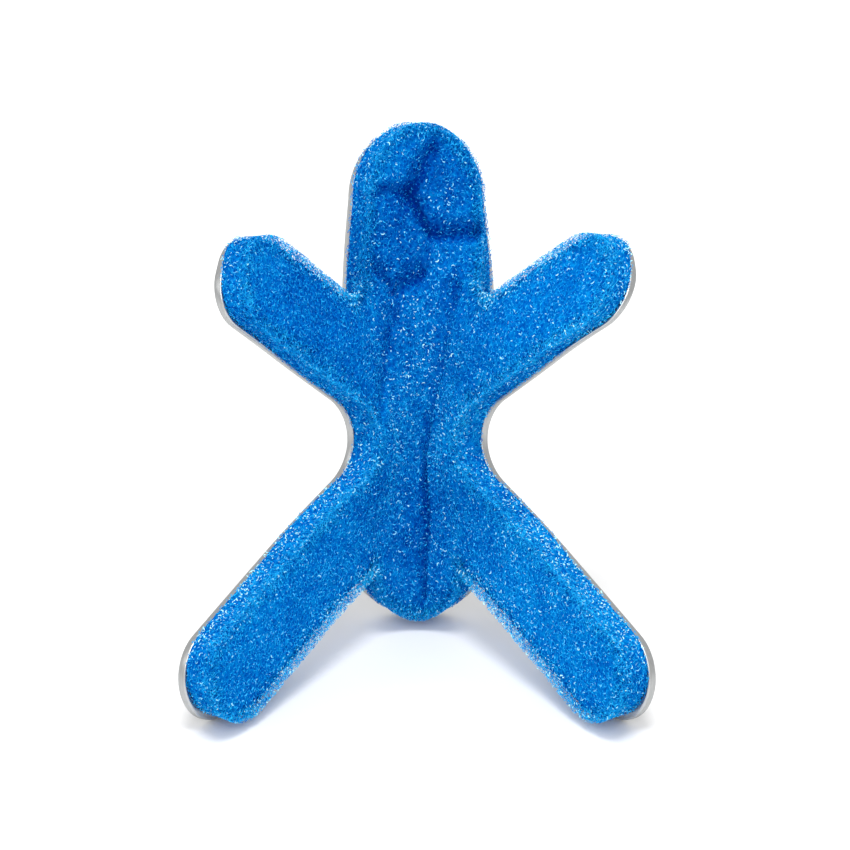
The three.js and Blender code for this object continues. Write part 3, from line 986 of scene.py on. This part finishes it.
def window_axes(face, places):
    """The middles of windows at places on a face, and three axes of each: sideways, along and facing out."""
    count = len(places)
    height = rng.uniform(*WINDOW["heights"], count)
    middle = pad_placed(*face.spots(places), height)
    side = pad_placed(*face.spots(places + [FACE_STEP, 0]), height) - middle
    other = pad_placed(*face.spots(places + [0, FACE_STEP]), height) - middle
    normal = np.cross(side, other)
    normal /= np.linalg.norm(normal, axis=1)[:, None]
    facing = normal + rng.normal(0, WINDOW["tilt"], (count, 3))
    facing /= np.linalg.norm(facing, axis=1)[:, None]
    side = np.cross(facing, rng.normal(0, 1, (count, 3)))
    side /= np.linalg.norm(side, axis=1)[:, None]
    return middle, side, np.cross(facing, side), facing


def band_of(sections):
    """The triangles of a closed band through three-cornered sections."""
    last = 3 * (sections - 1)
    band = [(0, 1, 2), (last, last + 2, last + 1)]
    for low in range(0, last, 3):
        for a, b in ((low, low + 1), (low + 1, low + 2), (low + 2, low)):
            band += [(a, a + 3, b + 3), (a, b + 3, b)]
    return band


def windows(face):
    """Rims and skins in some cells of a face, each a short bowed band tilted its own way: (shape, tones)."""
    places = jittered_cells(face.low, face.high)
    places = places[face.holds(places)]
    places = places[rng.random(len(places)) < WINDOW["share"]]
    count = len(places)
    middle, side, other, facing = window_axes(face, places)
    bow = rng.uniform(*WINDOW["bows"], count) * MM
    half_width = rng.uniform(*WINDOW["half_widths"], count) * MM
    span = np.radians(rng.uniform(*WINDOW["spans"], count))
    corners = []
    for share in np.linspace(-0.5, 0.5, WINDOW_STATIONS):
        outward = side * np.cos(span * share)[:, None] + other * np.sin(span * share)[:, None]
        station = middle + (outward - side) * bow[:, None]
        taper = 1 - WINDOW["taper"] * share**2
        reach = outward * (half_width * taper)[:, None]
        corners += [station - reach, station + reach, station + facing * WINDOW["thick"] * taper * MM]
    points = np.stack(corners, axis=1).reshape(-1, 3)
    triangles = repeated(band_of(WINDOW_STATIONS), len(corners), count)
    tones = window_tones(face.spots(places)[0], face.edge_distance(places), face.lit_from_above(places))
    return (points, triangles), np.repeat(tones, len(corners))


def make_windows(material):
    for name, face in (("front", FRONT), ("side", SIDE)):
        shape, tones = windows(face)
        foam_piece("foam_cell_windows_" + name, shape, tones, material)


def make_foam():
    core = foam_material("foam_core")
    strut = foam_material("foam_strut")
    window = foam_material("foam_window")
    make_core(core)
    make_front_net(strut)
    make_side_net(strut)
    make_cut_ends(strut)
    make_windows(window)
    make_rim(strut)


# Materials


def node_material(name):
    material = bpy.data.materials.new(name)
    material.use_nodes = True
    tree = material.node_tree
    return material, tree.nodes, tree.links, tree.nodes["Principled BSDF"]


def tone_value(nodes):
    """The tone that each point of the mesh carries."""
    tone = nodes.new("ShaderNodeAttribute")
    tone.attribute_name = "tone"
    return tone.outputs["Fac"]


def noise(nodes, links, place, scale, detail):
    texture = nodes.new("ShaderNodeTexNoise")
    texture.inputs["Scale"].default_value = scale
    texture.inputs["Detail"].default_value = detail
    links.new(place, texture.inputs["Vector"])
    return texture.outputs["Fac"]


def scaled_sum(nodes, links, value, factor, addend):
    """A value times a factor, plus an addend."""
    total = nodes.new("ShaderNodeMath")
    total.operation = "MULTIPLY_ADD"
    total.inputs[1].default_value = factor
    links.new(value, total.inputs[0])
    links.new(addend, total.inputs[2])
    return total.outputs["Value"]


def roughen(nodes, links, shader, value, low, high):
    """Runs the shader's roughness from low to high with a value."""
    rough = nodes.new("ShaderNodeMapRange")
    rough.inputs["To Min"].default_value = low
    rough.inputs["To Max"].default_value = high
    links.new(value, rough.inputs["Value"])
    links.new(rough.outputs["Result"], shader.inputs["Roughness"])


def emboss(nodes, links, shader, height, size):
    """Raises fine bumps on the shader's surface with a height."""
    bump = nodes.new("ShaderNodeBump")
    bump.inputs["Strength"].default_value = size["strength"]
    bump.inputs["Distance"].default_value = size["distance"]
    links.new(height, bump.inputs["Height"])
    links.new(bump.outputs["Normal"], shader.inputs["Normal"])


def foam_material(name):
    """Foam whose colour runs from painted crease shade over loose foam to painted edge light, by each point's
    tone, a fine mottle and painted shade in the pores.
    """
    look = FOAM_LOOKS[name]
    material, nodes, links, shader = node_material(name)
    place = nodes.new("ShaderNodeTexCoord").outputs["Object"]
    mottle = noise(nodes, links, place, MOTTLE_PER_CELL / (CELL * MM), MOTTLE_DETAIL)
    # Painted shade in the pores: darker towards each cell's middle.
    pore_shade = nodes.new("ShaderNodeTexVoronoi")
    pore_shade.inputs["Scale"].default_value = 1 / (CELL * MM)
    links.new(place, pore_shade.inputs["Vector"])
    walls = scaled_sum(nodes, links, pore_shade.outputs["Distance"], PORE_SHADE, tone_value(nodes))
    blend = scaled_sum(nodes, links, mottle, MOTTLE, walls)
    ramp = nodes.new("ShaderNodeValToRGB")
    ramp.color_ramp.elements.new(TONE_LOOSE)
    for stop, colour in zip(ramp.color_ramp.elements, look["colours"]):
        stop.color = (*colour, 1)
    links.new(blend, ramp.inputs["Fac"])
    links.new(ramp.outputs["Color"], shader.inputs["Base Color"])
    smoother = look["roughness"] * (1 - FOAM_ROUGHNESS_SPREAD)
    rougher = look["roughness"] * (1 + FOAM_ROUGHNESS_SPREAD)
    roughen(nodes, links, shader, mottle, smoother, min(1.0, rougher))
    emboss(nodes, links, shader, mottle, FOAM_BUMP)
    shader.inputs["Specular IOR Level"].default_value = look["specular"]
    shader.inputs["Specular Tint"].default_value = (*FOAM_TINT, 1)
    return material


def aluminium_material():
    """Rolled sheet with streaks up the spine, smudges, and edges painted darker at the back and lighter at
    the front, as painted shade and a painted highlight.
    """
    material, nodes, links, shader = node_material("rolled_aluminium")
    place = nodes.new("ShaderNodeTexCoord").outputs["Object"]
    streak_place = nodes.new("ShaderNodeMapping")
    streak_place.vector_type = "TEXTURE"
    streak_place.inputs["Rotation"].default_value = (-LEAN, 0, 0)
    streak_place.inputs["Scale"].default_value = STREAK_SIZE
    links.new(place, streak_place.inputs["Vector"])
    streaks = noise(nodes, links, streak_place.outputs["Vector"], 1.0, STREAK_DETAIL)
    smudges = noise(nodes, links, place, SMUDGES_PER_METRE, SMUDGE_DETAIL)
    roughen(nodes, links, shader, smudges, *SHEET_ROUGHNESS)
    # The streaks are the sheet's own; the tone attribute adds the painted edge highlight and shade.
    streaks_and_edge_light = scaled_sum(nodes, links, streaks, STREAK_SHARE, tone_value(nodes))
    shade = nodes.new("ShaderNodeValToRGB")
    for stop, (position, colour) in zip(shade.color_ramp.elements, SHEET_STREAK_AND_EDGE_LIGHT_TONES):
        stop.position = position
        stop.color = (*colour, 1)
    links.new(streaks_and_edge_light, shade.inputs["Fac"])
    links.new(shade.outputs["Color"], shader.inputs["Base Color"])
    emboss(nodes, links, shader, streaks, SHEET_BUMP)
    shader.inputs["Metallic"].default_value = 1.0
    return material


def floor_material():
    material, _, _, shader = node_material("pale_floor")
    shader.inputs["Base Color"].default_value = (*FLOOR_COLOUR, 1)
    shader.inputs["Roughness"].default_value = FLOOR_ROUGHNESS
    return material


# Stage


def make_stage():
    half = FLOOR_HALF
    points = [(-half, -half, 0), (half, -half, 0), (half, half, 0), (-half, half, 0)]
    mesh = bpy.data.meshes.new("studio_floor")
    mesh.from_pydata(points, [], [(0, 1, 2, 3)])
    mesh.materials.append(floor_material())
    floor = bpy.data.objects.new("studio_floor", mesh)
    bpy.context.scene.collection.objects.link(floor)


def make_lamp(name, place, size, power):
    light = bpy.data.lights.new(name, "AREA")
    light.shape = "DISK"
    light.size = size
    light.energy = power
    lamp = bpy.data.objects.new(name, light)
    lamp.location = place
    lamp.rotation_euler = (Vector(LAMP_TARGET) - Vector(place)).to_track_quat("-Z", "Y").to_euler()
    bpy.context.scene.collection.objects.link(lamp)


def make_lights():
    world = bpy.data.worlds.new("studio_world")
    world.use_nodes = True
    world.node_tree.nodes["Background"].inputs["Color"].default_value = (1, 1, 1, 1)
    world.node_tree.nodes["Background"].inputs["Strength"].default_value = WORLD_LIGHT
    bpy.context.scene.world = world
    for lamp in LAMPS:
        make_lamp(**lamp)


def make_camera():
    camera = bpy.data.cameras.new("photo_camera")
    camera.sensor_width = SENSOR_MM
    camera.lens = VIEW_LENS_MM
    camera.clip_start = 0.01
    camera.clip_end = 20.0
    rig = bpy.data.objects.new("photo_camera", camera)
    elevation = math.radians(VIEW_ELEVATION)
    target = Vector(VIEW_TARGET_MM) * MM
    back = Vector((0, -math.cos(elevation), math.sin(elevation)))
    rig.location = target + back * VIEW_DISTANCE_MM * MM
    rig.rotation_euler = (-back).to_track_quat("-Z", "Y").to_euler()
    bpy.context.scene.collection.objects.link(rig)
    bpy.context.scene.camera = rig


make_camera()
make_stage()
make_lights()
bpy.context.scene.view_settings.view_transform = "Standard"
make_plate(aluminium_material())
make_foam()
